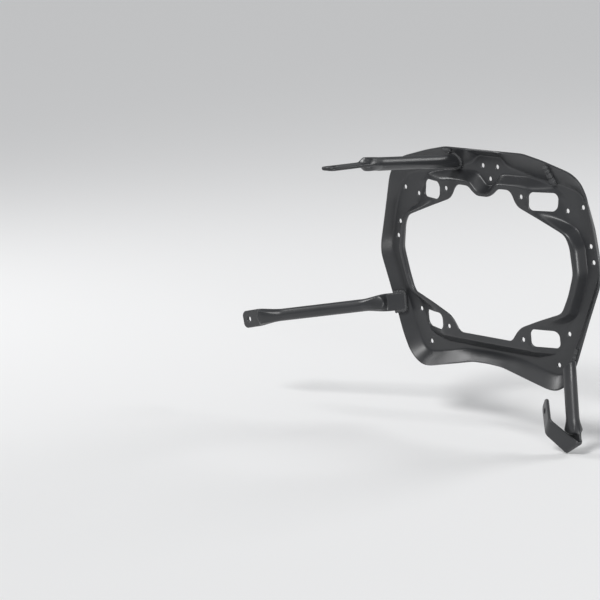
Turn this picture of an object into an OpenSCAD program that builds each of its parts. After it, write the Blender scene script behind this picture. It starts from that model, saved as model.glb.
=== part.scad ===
// Frame that carries a case on one side of a motorcycle.
// A ring pressed from steel sheet is held off the machine by three stays of round tube with flattened ends.
// Origin: centre of the four outer case holes, on the outer face of the ring.
// +X points to the rear of the machine, +Y away from it, +Z up.

/* [Pressed ring] */
// Overall width of the ring
ring_w = 426; // [412:1:440]
// Overall height of the ring
ring_h = 318; // [310:1:326]
// Thickness of the sheet
sheet_t = 3; // [2:0.5:3.5]
// Height of the face above the inner rim and the outer edge
press_depth = 15; // [13:0.5:18]
// Length of the bend at the top of the inner wall
wall_bend = 4; // [3:0.5:5]
// Length of the bend between the face and the outer flange
flange_bend = 9; // [7:0.5:11]
// Radius that softens the corners of the outlines
corner_soft = 7; // [4:0.5:10]

/* [Case holes] */
// Diameter of the holes in the ring
hole_d = 6.6; // [5:0.1:8]
// Width between the outer case holes
case_w = 288; // [284:1:292]
// Height between the outer case holes
case_h = 166; // [160:1:172]
// Width between the inner case holes
rim_hole_w = 145; // [141:1:149]
// Height between the inner case holes
rim_hole_h = 195; // [192:1:198]
// Distance between the two holes under the top edge
top_pair_w = 28; // [22:1:34]
// Distance from the top edge of the ring to those two holes
top_pair_drop = 24; // [23:0.5:26]
// Height of the single hole in the tongue
tongue_hole_z = 114.5; // [112:0.5:118]
// Distance from the ring's side edge to the side holes
side_inset = 21.5; // [20:0.5:24]
// Heights of the two side holes
side_z1 = 39.5; // [35:0.5:44]
side_z2 = 18.5; // [14:0.5:23]
// Width between the shoulder holes
shoulder_w = 343; // [338:1:348]
// Height of the shoulder holes
shoulder_z = 90; // [86:1:94]
// Width between the bottom corner holes
low_w = 249; // [244:1:254]
// Depth of the bottom corner holes below the centre
low_drop = 128; // [124:1:132]

/* [Windows] */
// Width of each window
window_w = 43.5; // [36:0.5:48]
// Height of each window
window_h = 24.5; // [18:0.5:28]
// Corner radius of the windows
window_r = 8.5; // [4:0.5:9]
// Distance from the centre line to a window's middle
window_x = 107; // [104:1:110]
// Distance above or below the centre to a window's middle
window_z = 93; // [90:1:96]

/* [Stays] */
// Outer diameter of the stay tube
tube_d = 18; // [16:0.5:20]
// Thickness of a flattened tube end
flat_t = 4.4; // [3:0.2:6]
// Diameter of the bolt holes in the flattened ends
eye_d = 8.5; // [6:0.5:10]
// Distance from a bolt hole to the end of its flat
eye_end = 14; // [11:0.5:20]
// Corner radius of the flattened ends
flat_corner = 7; // [3:0.5:10]

/* [Welds] */
// Width of a weld bead
bead_d = 6; // [5:0.5:8]
// Gap between two pieces that are welded beside each other
weld_gap = 0.4; // [0.2:0.1:0.6]
// Length of the short bead between the upper stay and the top flange
tack_run = 12; // [8:1:16]
// Length of the beads along the lower stay's flat end
lower_run = 14; // [8:1:18]
// Length of the bead above the hook's leg
hook_run = 16; // [10:1:20]
// Distance of the rough corner bead from the centre line
corner_x = 120; // [114:1:126]

/* [Upper stay] */
// Distance of its foot from the centre line
upper_x = 64; // [58:1:70]
// Height of its foot above the fold of the ring
upper_rise = 1.5; // [0:0.5:3]
// How far its flat begins from the face of the ring
upper_reach = 216; // [200:1:232]
// How far it leans to the rear over that reach
upper_lean = 44; // [36:1:52]
// How far it climbs over that reach
upper_climb = 21; // [14:1:28]
// Length of its flattened end
upper_flat = 65; // [56:1:80]
// Length over which the tube flattens
upper_pinch = 34; // [26:1:42]

/* [Lower stay] */
// Height of its foot below the centre
lower_drop = 76; // [70:1:80]
// Distance of its bolt hole from the centre line
lower_eye_x = 408; // [390:1:425]
// Distance of its bolt hole from the face of the ring
lower_eye_y = 106; // [98:1:114]
// Depth of its bolt hole below the centre
lower_eye_drop = 116; // [108:1:124]
// Length of its flattened outer end
lower_flat = 36; // [32:1:44]
// Length of its flattened end on the ring
lower_tab = 24; // [20:1:30]
// How far that end laps past the middle of the flange
lower_lap = 3; // [1:0.5:5]
// Length over which the tube flattens
lower_pinch = 40; // [32:1:48]

/* [Hook stay] */
// Distance of the leg from the ring's edge at the height of its top
hook_inset = 7.5; // [5:0.5:10]
// Height of the leg's top below the centre
hook_top = 110; // [106:1:114]
// Depth of the fold below the centre
hook_fold = 224; // [216:1:234]
// Length over which the leg flattens
hook_pinch = 24; // [18:1:30]
// Length of the flat part of the leg above the fold
hook_leg_flat = 12; // [8:1:16]
// Inside radius of the fold
fold_r = 2.5; // [2:0.5:4]
// Length of the strip between the fold and the tab
hook_strip = 33; // [28:1:38]
// Inside radius of the bend between the strip and the tab
tab_r = 9; // [5:1:14]
// Angle of that bend
tab_turn = 48; // [40:1:56]
// Slant of that bend's line across the strip
tab_slant = 14; // [8:1:18]
// Length of the upturned tab past the bend
hook_tab = 33; // [30:1:40]

/* [Hidden] */
$fn = 48;
steel = "#2b2c2e";
weld_grey = "#343537";

// Outlines of the pressing, clockwise from the top centre down its +X half, as x and z.
nominal_w = 426;
nominal_h = 318;
opening_half = [
    [0, 92], [11, 92], [21, 98], [28, 104.5], [50, 105], [57, 98], [60, 91], [67, 83], [105, 70], [152, 53],
    [160, 39], [166, 2], [157, -28], [145, -53], [104, -67.5], [70, -81], [61, -89], [51, -103], [0, -103]];
lip_half = [
    [0, 92.5], [11.5, 92.8], [21.5, 99.4], [27.5, 106], [51, 106.5], [60, 100], [65, 93], [71, 86], [104, 74],
    [155, 53.5], [166.5, 37], [171.3, 2], [161, -28], [151, -52.5], [145.5, -56.5], [103, -73], [75, -84.5],
    [66, -92], [54, -105], [0, -105]];
wall_half = [
    [0, 93], [12, 94], [21, 101], [27, 107.5], [53, 108], [64, 102], [70, 95], [78, 89], [104, 79.5],
    [141, 67.5], [160.5, 60], [173, 39], [177.5, 2], [166.5, -33], [157.5, -56], [147.5, -65], [132, -71.5],
    [104, -80], [82, -89], [72, -95], [58, -107], [0, -107]];
foot_half = [
    [0, 94], [11, 95.5], [19, 103], [26, 109.5], [65, 110.5], [87, 108.5], [108, 109.5], [127, 110], [150, 95],
    [168, 74], [182, 45], [187, 4], [174, -38], [163, -66], [150, -88], [134, -100], [117, -112], [80, -110],
    [0, -110]];
step_half = [
    [0, 104], [6, 104], [22, 121], [75, 121.5], [108, 116], [131, 111.5], [156, 98], [173, 76], [187, 46],
    [192, 5], [178, -40], [166, -72], [153, -94], [137, -106], [119, -113.5], [102, -118], [88, -121.5],
    [0, -121.5]];
fold_half = [
    [0, 141], [35, 138.5], [75, 131], [142, 118], [160, 113], [170, 108], [179, 96], [192, 62], [202, 14],
    [200, -2], [173, -66], [147, -123], [138, -138], [127, -143], [110, -141], [54, -130], [0, -128]];
edge_half = [
    [0, 156], [75, 156], [112, 149], [160, 137], [172, 131], [182, 122], [191, 106], [203, 52], [213, 8],
    [213, -8], [192, -60], [170, -118], [158, -142], [146, -154], [132, -161], [118, -161.5], [69, -151.5],
    [28, -143], [0, -142]];

// The ramp under each window climbs along this direction, between these two distances.
ramp_dir = [cos(25), sin(25)];
ramp_from = 122;
ramp_to = 160;

// Directions, clockwise from straight up, in which the pressing's section is worked out.
section_angles = concat(
    [for (a = [0 : 2.5 : 42.5]) a], [for (a = [46 : 4 : 134]) a], [for (a = [137.5 : 2.5 : 180]) a],
    [for (a = [182.5 : 2.5 : 222.5]) a], [for (a = [226 : 4 : 314]) a], [for (a = [317.5 : 2.5 : 357.5]) a]);

// Width of the tube when it is flattened to a thickness with its perimeter kept.
function width_at(thick) = thick + PI * (tube_d - thick) / 2;
flat_w = width_at(flat_t);

// A formed stretch is drawn this much smaller than the exact pieces at its ends, and they lap over it.
form_step = 0.15;
form_lap = 0.5;

function unit(v) = v / norm(v);
function mix(a, b, t) = a + (b - a) * t;
function clamp01(t) = max(0, min(1, t));
function ease(t) = t * t * (3 - 2 * t);
function square_to(v, axis) = unit(v - (v * axis) * axis);

// A half outline with its mirror image, stretched to the ring's size.
function whole(half) =
    let (stretch = [ring_w / nominal_w, ring_h / nominal_h],
         right = [for (p = half) [p[0] * stretch[0], p[1] * stretch[1]]])
    concat(right, [for (i = [len(right) - 1 : -1 : 0]) if (right[i][0] > 0.01) [-right[i][0], right[i][1]]]);

// Cuts each corner of a closed outline and bows the cut outwards.
function softened(p, c) =
    let (n = len(p))
    [for (i = [0 : n - 1])
        let (b = p[i], back = p[(i + n - 1) % n] - b, ahead = p[(i + 1) % n] - b,
             u = unit(back) * min(c, 0.45 * norm(back)), v = unit(ahead) * min(c, 0.45 * norm(ahead)))
        each [b + u, b + (u + v) / 4, b + v]];

// Distance from the centre to an outline along a direction.
function reach(outline, a) =
    let (u = [sin(a), cos(a)], n = len(outline))
    [for (i = [0 : n - 1])
        let (p = outline[i], q = outline[(i + 1) % n])
        if (cross(u, p) >= 0 && cross(u, q) < 0 && u * p > 0) cross(p, q - p) / cross(u, q - p)][0];

// Greatest x at which an outline crosses a height, and greatest z at which it crosses an x.
function x_at(outline, z) =
    max([for (i = [0 : len(outline) - 2])
        let (p = outline[i], q = outline[i + 1])
        if ((p[1] - z) * (q[1] - z) <= 0 && p[1] != q[1]) mix(p[0], q[0], (z - p[1]) / (q[1] - p[1]))]);
function z_at(outline, x) =
    max([for (i = [0 : len(outline) - 2])
        let (p = outline[i], q = outline[i + 1])
        if ((p[0] - x) * (q[0] - x) <= 0 && p[0] != q[0]) mix(p[1], q[1], (x - p[0]) / (q[0] - p[0]))]);

opening = softened(whole(opening_half), corner_soft);
lip = softened(whole(lip_half), corner_soft);
wall = softened(whole(wall_half), corner_soft);
foot = softened(whole(foot_half), corner_soft);
step = softened(whole(step_half), corner_soft);
fold = softened(whole(fold_half), corner_soft);
edge = softened(whole(edge_half), corner_soft);

// How far up the ramp a point of the sheet lies, from 0 at the rim to 1 at the face.
function climb(r, a) =
    let (x = abs(r * sin(a)) * nominal_w / ring_w, z = abs(r * cos(a)) * nominal_h / ring_h)
    clamp01(([x, z] * ramp_dir - ramp_from) / (ramp_to - ramp_from));
function level(r, a) = [r, press_depth * (climb(r, a) - 1)];

// Radius at which the ramp reaches the face, kept within the middle of the stretch that carries it.
function ramp_end(a, from, to) =
    let (across = abs(sin(a)) * nominal_w / ring_w, up = abs(cos(a)) * nominal_h / ring_h,
         r = ramp_to / ([across, up] * ramp_dir))
    max(mix(from, to, 0.3), min(mix(from, to, 0.7), r));

// Replaces a corner of a section by the ends of a bend.
function bent(before, at, after, c, mid) =
    let (u = before - at, v = after - at, p = at + unit(u) * min(c, 0.42 * norm(u)),
         q = at + unit(v) * min(c, 0.42 * norm(v)))
    mid ? [p, (p + q) / 4 + at / 2, q] : [p, q];

// Outer surface of the pressing along one direction, as radius and y, from the opening to the edge.
function section(a) =
    let (rim_in = [reach(opening, a), -press_depth], rim_out = [reach(lip, a), -press_depth],
         wall_r = reach(wall, a), foot_r = reach(foot, a), wall_top = level(wall_r, a),
         crest = level(ramp_end(a, wall_r, foot_r), a), wall_foot = level(foot_r, a),
         face_in = [reach(step, a), 0], face_out = [reach(fold, a), 0], outer = [reach(edge, a), -press_depth])
    concat([rim_in], bent(rim_in, rim_out, wall_top, wall_bend * 0.75, false),
        bent(rim_out, wall_top, crest, wall_bend, false), [crest, wall_foot],
        bent(wall_foot, face_in, face_out, wall_bend, false), bent(face_in, face_out, outer, flange_bend / 2, true),
        [outer]);

// The same line moved inwards by the sheet thickness.
function inward(line, t) =
    let (last = len(line) - 1,
         normals = [for (i = [0 : last - 1]) let (d = unit(line[i + 1] - line[i])) [d[1], -d[0]]])
    [for (i = [0 : last])
        let (m = normals[max(0, i - 1)], n = normals[min(last - 1, i)])
        line[i] + (m + n) / (1 + m * n) * t];

function place(rp, a) = [rp[0] * sin(a), rp[1], rp[0] * cos(a)];

// Skins a row of rings of equal length, each clockwise about the direction of travel.
module skin(rings, closed) {
    n = len(rings[0]);
    rows = len(rings);
    sides = [for (i = [0 : rows - (closed ? 1 : 2)]) for (j = [0 : n - 1])
        let (a = i * n + j, b = i * n + (j + 1) % n, c = ((i + 1) % rows) * n + j,
             d = ((i + 1) % rows) * n + (j + 1) % n)
        each [[a, b, d], [a, d, c]]];
    caps = closed ? [] : concat(
        [for (j = [1 : n - 2]) [0, j + 1, j]],
        [for (j = [1 : n - 2]) [(rows - 1) * n, (rows - 1) * n + j, (rows - 1) * n + j + 1]]);
    polyhedron([for (r = rings) each r], concat(sides, caps), convexity = 10);
}

function sheet_ring(a) =
    let (out = section(a), in = inward(out, sheet_t), n = len(in))
    [for (p = concat(in, [for (i = [n - 1 : -1 : 0]) out[i]])) place(p, a)];

// Everything outward of the sheet's inner surface between two directions, to trim what is welded to it.
function seat_ring(a) =
    let (out = section(a), in = inward(out, sheet_t), n = len(in), top = 20)
    [for (p = concat(in, [out[n - 1], [out[n - 1][0], top], [in[0][0], top]])) place(p, a)];
module seat(from, to) {
    skin([for (a = section_angles) if (a >= from && a <= to) seat_ring(a)], false);
}

// Edge of the outer flange along a direction, the way down its slope, and the way out of its face.
function flange_edge(a) = let (s = section(a)) place(s[len(s) - 1], a);
function flange_down(a) = let (s = section(a), n = len(s)) unit(place(s[n - 1], a) - place(s[n - 2], a));
function flange_out(a) = unit(cross(flange_down(a), flange_edge(a + 1) - flange_edge(a - 1)));

module drill(x, z, d) {
    translate([x, 10, z]) rotate([90, 0, 0]) cylinder(h = 45, d = d);
}

module rounded(w, h, r) {
    square([w, h - 2 * r], center = true);
    square([w - 2 * r, h], center = true);
    for (x = [-1, 1], z = [-1, 1]) translate([x * (w / 2 - r), z * (h / 2 - r)]) circle(r);
}

module window(x, z) {
    translate([x, 10, z]) rotate([90, 0, 0]) linear_extrude(45) rounded(window_w, window_h, window_r);
}

module side_plate() {
    color(steel) difference() {
        skin([for (a = section_angles) sheet_ring(a)], true);
        for (s = [-1, 1]) {
            for (t = [-1, 1]) {
                drill(s * case_w / 2, t * case_h / 2, hole_d);
                drill(s * rim_hole_w / 2, t * rim_hole_h / 2, hole_d);
                window(s * window_x, t * window_z);
            }
            drill(s * top_pair_w / 2, z_at(edge, 0) - top_pair_drop, hole_d);
            drill(s * (x_at(edge, side_z1) - side_inset), side_z1, hole_d);
            drill(s * (x_at(edge, side_z2) - side_inset), side_z2, hole_d);
            drill(s * shoulder_w / 2, shoulder_z, hole_d);
            drill(s * low_w / 2, -low_drop, hole_d);
        }
        drill(0, tongue_hole_z, hole_d);
    }
}

// Turns the z axis to d and the x axis towards w at point p.
module pose(p, d, w) {
    z = unit(d);
    x = square_to(w, z);
    y = cross(z, x);
    translate(p) rotate([atan2(y[2], z[2]), asin(-x[2]), atan2(x[1], x[0])]) children();
}

// Cross-section of a formed stretch, wide along w and thick along n.
function oval(c, w, n, thick, wide) =
    let (h = thick / 2 - form_step)
    [for (k = [0 : 23])
        let (a = k * 15 + 7.5)
        c + w * (h * cos(a) + sign(cos(a)) * (wide - thick) / 2) + n * h * sin(a)];

// The length of tube that goes from a flat starting at p to a round tube starting at q.
function pinch_rings(p, dp, q, dq, w) =
    let (steps = 8, turn = p + dp * norm(q - p) / 2)
    [for (k = [0 : steps])
        let (t = k / steps, c = mix(mix(p, turn, t), mix(turn, q, t), t), d = unit(mix(dp, dq, t)),
             x = square_to(w, d), thick = mix(flat_t, tube_d, ease(t)))
        oval(c, x, cross(x, d), thick, width_at(thick))];
module pinch(p, dp, q, dq, w) {
    skin(pinch_rings(p, dp, q, dq, w), false);
}

// The same rings in the opposite order, for the opposite direction of travel.
function backwards(rings) =
    [for (i = [len(rings) - 1 : -1 : 0]) [for (j = [len(rings[i]) - 1 : -1 : 0]) rings[i][j]]];

// A flattened tube end from p along d, with rounded corners and a bolt hole.
module flat_end(p, d, w, len) {
    pose(p, d, w) difference() {
        rotate([90, 0, 0]) translate([0, len / 2, -flat_t / 2]) linear_extrude(flat_t) union() {
            rounded(flat_w, len, flat_corner);
            translate([0, -(len / 2 + form_lap) / 2]) square([flat_w, len / 2 + form_lap], center = true);
        }
        translate([0, flat_t, len - eye_end]) rotate([90, 0, 0]) cylinder(h = 2 * flat_t, d = eye_d);
    }
}

module tube(p, q) {
    pose(p, q - p, [0, 1, 0.3]) translate([0, 0, -form_lap]) cylinder(h = norm(q - p) + 2 * form_lap, d = tube_d);
}

// Upper stay: from the inside of the top fold inwards to a level flat.
upper_foot = [-upper_x, 0, z_at(fold, upper_x) + upper_rise];
upper_neck = [upper_foot[0] + upper_lean, -upper_reach, upper_foot[2] + upper_climb];
upper_along = unit(upper_neck - upper_foot);
upper_flat_dir = unit([0.03, -1, 0.02]);
upper_round = upper_neck - upper_along * upper_pinch;

module upper_stay() {
    color(steel) {
        difference() {
            tube(upper_foot, upper_round);
            seat(300, 357.5);
        }
        pinch(upper_neck, -upper_flat_dir, upper_round, -upper_along, [1, 0, 0]);
        flat_end(upper_neck, upper_flat_dir, [1, 0, 0], upper_flat);
    }
}

// Lower stay: a flat end lies on the inside of the front flange, and the tube goes forwards and inwards to an eye.
lower_eye = [-lower_eye_x, -lower_eye_y, -lower_eye_drop];
lower_flat_dir = unit([-0.97, 0, -0.22]);
lower_neck = lower_eye - lower_flat_dir * (lower_flat - eye_end);
lower_mid_x = (x_at(fold, -lower_drop) + x_at(edge, -lower_drop)) / 2;
lower_a = 180 + atan(lower_mid_x / lower_drop);
lower_out = flange_out(lower_a);
lower_mid = [-lower_mid_x, -press_depth / 2, -lower_drop] - lower_out * (sheet_t + weld_gap + flat_t / 2);
lower_tab_dir = square_to(lower_neck - lower_mid, lower_out);
lower_across = cross(lower_out, lower_tab_dir);
lower_end = lower_mid - lower_tab_dir * lower_lap;
lower_bend = lower_end + lower_tab_dir * lower_tab;
lower_along = unit(lower_neck - lower_bend);
lower_near = lower_bend + lower_along * lower_pinch;
lower_round = lower_neck - lower_along * lower_pinch;

module lower_plate() {
    pose(lower_end, lower_tab_dir, lower_across)
        translate([-flat_w / 2, -flat_t / 2, 0]) cube([flat_w, flat_t, lower_tab + form_lap]);
}

module lower_stay() {
    color(steel) {
        lower_plate();
        pinch(lower_bend, lower_tab_dir, lower_near, lower_along, lower_across);
        tube(lower_near, lower_round);
        pinch(lower_neck, -lower_flat_dir, lower_round, -lower_along, [0, 0, 1]);
        flat_end(lower_neck, lower_flat_dir, [0, 0, 1], lower_flat);
    }
}

// Hook stay: a leg down from the rear corner, flattened, folded back up and turned up again into a tab.
leg_dir = unit([0.068, 0, -1]);
leg_rest = inward(section(125), sheet_t);
leg_top = [x_at(edge, -hook_top) - hook_inset, leg_rest[len(leg_rest) - 1][1] - tube_d / 2 - weld_gap, -hook_top];
leg_end = leg_top + leg_dir * (hook_fold - hook_top);
leg_tab = leg_end - leg_dir * hook_leg_flat;
leg_round = leg_tab - leg_dir * hook_pinch;
leg_across = square_to([1, 0, 0], leg_dir);
fold_line = unit([0.84, 0, 0.54]);
strip_dir = unit([-0.765, -0.274, 0.583]);
strip_across = square_to([0.63, -0.10, 0.77], strip_dir);

// Turns v by t about an axis square to it.
function swung(v, axis, t) = v * cos(t) + cross(axis, v) * sin(t);

// Centre line of a strip bent to radius r about a line, slid along the line by slant.
function bend_at(start, out, line, r, t, slant) =
    start + (swung(out, line, t) - out) * r + line * (r * t * PI / 180 * tan(slant));

// First the fold at the foot of the leg, then the bend between the strip and the tab.
turn_r = fold_r + flat_t / 2;
fold_turn = 164;
function fold_out(t) = swung([0, 1, 0], -fold_line, t);
function fold_mid(t) = bend_at(leg_end, [0, 1, 0], -fold_line, turn_r, t, 0);
strip_end = fold_mid(fold_turn) + strip_dir * hook_strip;
tab_line = strip_across * cos(tab_slant) + strip_dir * sin(tab_slant);
strip_on = strip_dir * cos(tab_slant) - strip_across * sin(tab_slant);
strip_out = cross(tab_line, strip_on);
tab_on = swung(strip_on, -tab_line, tab_turn);
tab_dir = tab_on * cos(tab_slant) + tab_line * sin(tab_slant);
tab_across = tab_line * cos(tab_slant) - tab_on * sin(tab_slant);
function tab_mid(t) = bend_at(strip_end, strip_out, -tab_line, tab_r + flat_t / 2, t, -tab_slant);
tab_start = tab_mid(tab_turn) + tab_dir * flat_w / 2 * tan(tab_slant);

// The formed part of the hook, from the round leg through the fold and the bend to the tab.
module hook_strip() {
    slanted = flat_w / norm(cross(fold_line, leg_dir));
    bevel = flat_w / cos(tab_slant);
    skin(concat(
        backwards(pinch_rings(leg_tab, -leg_dir, leg_round, -leg_dir, leg_across)),
        [for (k = [0 : 8]) let (t = k * fold_turn / 8) oval(fold_mid(t), fold_line, fold_out(t), flat_t, slanted)],
        [for (k = [0 : 4]) let (t = k * tab_turn / 4)
            oval(tab_mid(t), tab_line, swung(strip_out, -tab_line, t), flat_t, bevel)],
        [oval(tab_start, tab_across, cross(tab_across, tab_dir), flat_t, flat_w)]), false);
}

// Round part of the leg, cut off at a slant at its top.
module leg_solid() {
    difference() {
        tube(leg_top, leg_round);
        translate(leg_top - [0, 0, tube_d / 2]) rotate([0, -40, 0])
            translate([-tube_d, -tube_d, 0]) cube([2 * tube_d, 2 * tube_d, 2 * tube_d]);
    }
}

module hook_stay() {
    color(steel) {
        leg_solid();
        hook_strip();
        flat_end(tab_start, tab_dir, tab_across, hook_tab);
    }
}

// Bead of weld along a path, with blunt ends.
module bead(path, d) {
    n = len(path);
    skin([for (i = [0 : n - 1])
        let (along = unit(path[min(i + 1, n - 1)] - path[max(i - 1, 0)]), x = square_to([0.3, 0.2, 1], along),
             y = cross(along, x), r = i == 0 || i == n - 1 ? d / 4 : d / 2)
        [for (k = [0 : 11]) path[i] + (x * cos(k * 30) - y * sin(k * 30)) * r]], false);
}

// A straight bead with its ends drawn in over a quarter of its width.
function straight(p, q) = let (u = unit(q - p) * bead_d / 4) [p, p + u, q - u, q];

module upper_weld() {
    color(weld_grey) difference() {
        pose(upper_foot + upper_along * 7, upper_along, [1, 0, 0])
            rotate_extrude() translate([tube_d / 2, 0]) circle(d = bead_d, $fn = 16);
        tube(upper_foot - upper_along * 10, upper_neck);
        seat(300, 357.5);
    }
}

// Ties the tube to the inside of the top flange.
module upper_tack() {
    low = [-upper_x + 1, -press_depth - 4, z_at(edge, upper_x) - 6.5];
    color(weld_grey) difference() {
        bead(straight(low, low + unit([-12, 0, 1]) * tack_run), bead_d);
        tube(upper_foot, upper_neck);
        seat(300, 357.5);
    }
}

// Runs along the top of the lower stay's flat end, round it and back along its bottom.
module lower_weld() {
    up = lower_across * flat_w / 2;
    start = lower_end - lower_out * flat_t / 2;
    run = lower_tab_dir * lower_run;
    color(weld_grey) difference() {
        bead([start + run + up, start + run * 0.9 + up, start + run * 0.35 + up, start + up * 0.65,
            start - up * 0.65, start + run * 0.35 - up, start + run * 0.9 - up, start + run - up], bead_d);
        lower_plate();
        seat(182.5, 314);
    }
}

// Ties the leg to the inside of the rear flange above its end.
module hook_weld() {
    low = leg_top + [-2, tube_d / 2 + 1, -4];
    color(weld_grey) difference() {
        bead(straight(low, low + unit([5, 1, 15]) * hook_run), bead_d);
        leg_solid();
        seat(90, 180);
    }
}

// Rough bead across the fold in the upper rear corner.
module corner_weld() {
    top = [corner_x + 3, -sheet_t - 1, z_at(fold, corner_x) - 2];
    low = [corner_x - 2, -press_depth - 1, z_at(edge, corner_x) - 4.5];
    color(weld_grey) difference() {
        bead(straight(top, low), bead_d);
        seat(0, 90);
    }
}

side_plate();
upper_stay();
lower_stay();
hook_stay();
upper_weld();
upper_tack();
lower_weld();
hook_weld();
corner_weld();
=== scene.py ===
"""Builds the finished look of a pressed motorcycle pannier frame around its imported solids."""

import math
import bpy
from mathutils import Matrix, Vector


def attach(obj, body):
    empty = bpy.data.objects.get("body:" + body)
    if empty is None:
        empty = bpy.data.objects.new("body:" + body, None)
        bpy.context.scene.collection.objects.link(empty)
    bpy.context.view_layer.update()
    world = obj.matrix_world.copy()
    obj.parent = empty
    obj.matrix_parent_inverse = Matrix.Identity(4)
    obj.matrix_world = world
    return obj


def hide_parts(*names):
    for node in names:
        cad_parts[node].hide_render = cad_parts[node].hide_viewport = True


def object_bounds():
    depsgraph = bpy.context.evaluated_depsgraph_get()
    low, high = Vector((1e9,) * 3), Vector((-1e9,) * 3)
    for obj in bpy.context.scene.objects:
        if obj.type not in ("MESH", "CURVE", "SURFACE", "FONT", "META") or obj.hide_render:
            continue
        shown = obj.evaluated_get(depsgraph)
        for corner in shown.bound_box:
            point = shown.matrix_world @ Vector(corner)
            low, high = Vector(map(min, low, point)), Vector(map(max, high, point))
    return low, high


bl_info = {
    "name": "Pannier Frame",
    "version": (1, 0, 0),
    "blender": (4, 5, 0),
    "location": "View3D > Sidebar > Pannier Frame",
    "description": "Pressed side ring, its bent tube stays, the welds and a plain stage",
    "category": "Object",
}

import bpy
import numpy as np
from mathutils import Matrix, Vector
from mathutils.bvhtree import BVHTree

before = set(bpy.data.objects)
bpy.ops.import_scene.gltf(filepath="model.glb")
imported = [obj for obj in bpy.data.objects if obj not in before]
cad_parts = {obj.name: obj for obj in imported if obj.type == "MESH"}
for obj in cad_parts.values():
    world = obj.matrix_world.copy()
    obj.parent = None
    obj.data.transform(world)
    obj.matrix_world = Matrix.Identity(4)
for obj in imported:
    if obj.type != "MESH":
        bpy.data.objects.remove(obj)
CAD_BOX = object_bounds()

MM = 0.001

# Half outlines of the pressing from the top centre down its +X side, as x and z in millimetres.
OUTLINES = {
    "opening": [(0, 92), (11, 92), (21, 98), (28, 104.5), (50, 105), (57, 98), (60, 91), (67, 83), (105, 70),
                (152, 53), (160, 39), (166, 2), (157, -28), (145, -53), (104, -67.5), (70, -81), (61, -89),
                (51, -103), (0, -103)],
    "lip": [(0, 92.5), (11.5, 92.8), (21.5, 99.4), (27.5, 106), (51, 106.5), (60, 100), (65, 93), (71, 86),
            (104, 74), (155, 53.5), (166.5, 37), (171.3, 2), (161, -28), (151, -52.5), (145.5, -56.5),
            (103, -73), (75, -84.5), (66, -92), (54, -105), (0, -105)],
    "wall": [(0, 93), (12, 94), (21, 101), (27, 107.5), (53, 108), (64, 102), (70, 95), (78, 89), (104, 79.5),
             (141, 67.5), (160.5, 60), (173, 39), (177.5, 2), (166.5, -33), (157.5, -56), (147.5, -65),
             (132, -71.5), (104, -80), (82, -89), (72, -95), (58, -107), (0, -107)],
    "foot": [(0, 94), (11, 95.5), (19, 103), (26, 109.5), (65, 110.5), (87, 108.5), (108, 109.5), (127, 110),
             (150, 95), (168, 74), (182, 45), (187, 4), (174, -38), (163, -66), (150, -88), (134, -100),
             (117, -112), (80, -110), (0, -110)],
    "step": [(0, 104), (6, 104), (22, 121), (75, 121.5), (108, 116), (131, 111.5), (156, 98), (173, 76),
             (187, 46), (192, 5), (178, -40), (166, -72), (153, -94), (137, -106), (119, -113.5), (102, -118),
             (88, -121.5), (0, -121.5)],
    "fold": [(0, 147.5), (22, 148), (32, 137), (42, 133), (82, 124.5), (142, 116), (160, 112), (170, 107.5),
             (179, 96), (192, 62), (202, 14), (200, -2), (173, -66), (147, -123), (138, -138), (127, -143),
             (110, -141), (54, -130), (0, -128)],
    "edge": [(0, 156), (75, 156), (112, 149), (160, 137), (172, 131), (182, 122), (191, 106), (203, 52),
             (213, 8), (213, -8), (192, -60), (170, -118), (158, -142), (146, -154), (132, -161),
             (118, -161.5), (69, -151.5), (28, -143), (0, -142)],
}
SECTION_ORDER = ("opening", "lip", "wall", "crest", "foot", "step", "fold", "edge")
# How far the section is rounded at each of its corners from lip to fold, and where rows stand beside a bend.
SECTION_BENDS = (3.0, 4.0, 5.0, 3.5, 4.0, 3.4)
BESIDE_BEND = 1.5
# The ramp ends within this share of the way from wall to foot.
CREST_RANGE = (0.3, 0.7)
# Turn in degrees over which the section's changes are evened out.
TURN_BLUR = 0.7
CORNER_SOFT = 7.0
RAMP_DIR = (math.cos(math.radians(25)), math.sin(math.radians(25)))
RAMP_FROM, RAMP_TO = 122.0, 160.0

# Finished cut edges are broken by this much, in millimetres.
EDGE_BREAK = 0.45
RING_STEPS = 700
BEND_ROWS = 7
EDGE_ROWS = 3
TUBE_STEPS = 72

# Holes and windows of the ring, as x and z, on both sides of the middle apart from the tongue's hole.
CASE_HOLE, INNER_HOLE, WINDOW = (144.0, 83.0), (72.5, 97.5), (107.0, 93.0)
SHOULDER_HOLE, BOTTOM_HOLE, TONGUE_HOLE = (171.5, 90.0), (124.5, -128.0), (0.0, 114.5)
TOP_HOLE_X, TOP_HOLE_INSET = 14.0, 24.0
SIDE_HOLE_HEIGHTS, SIDE_HOLE_INSET = (39.5, 18.5), 21.5

# Heights over and under the ring for rays and cutters, its lowest surface, and how far a cutter stands off.
RAY_HEIGHTS, CUTTER_HEIGHTS, RING_FOOT, SKIN = (30.0, -60.0), (10.0, -40.0), -18.0, 0.02


def mm_prop(name, description, default, **more):
    return bpy.props.FloatProperty(name=name, description=description, default=default * MM, min=0.0,
                                   subtype="DISTANCE", unit="LENGTH", **more)


def share(name, description, default):
    return bpy.props.FloatProperty(name=name, description=description, default=default, min=0.0, max=1.0,
                                   subtype="FACTOR")


class RingSizes(bpy.types.PropertyGroup):
    """Sizes of the pressed ring and its holes."""

    sheet: mm_prop("Sheet", "Thickness of the sheet", 3.0)
    depth: mm_prop("Press depth", "Height of the face above the rim", 15.0)
    hole: mm_prop("Hole", "Diameter of the case holes", 6.6)
    window_width: mm_prop("Window width", "Width of each window", 43.5)
    window_height: mm_prop("Window height", "Height of each window", 24.5)
    window_corner: mm_prop("Window corner", "Corner radius of the windows", 8.5)


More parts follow.
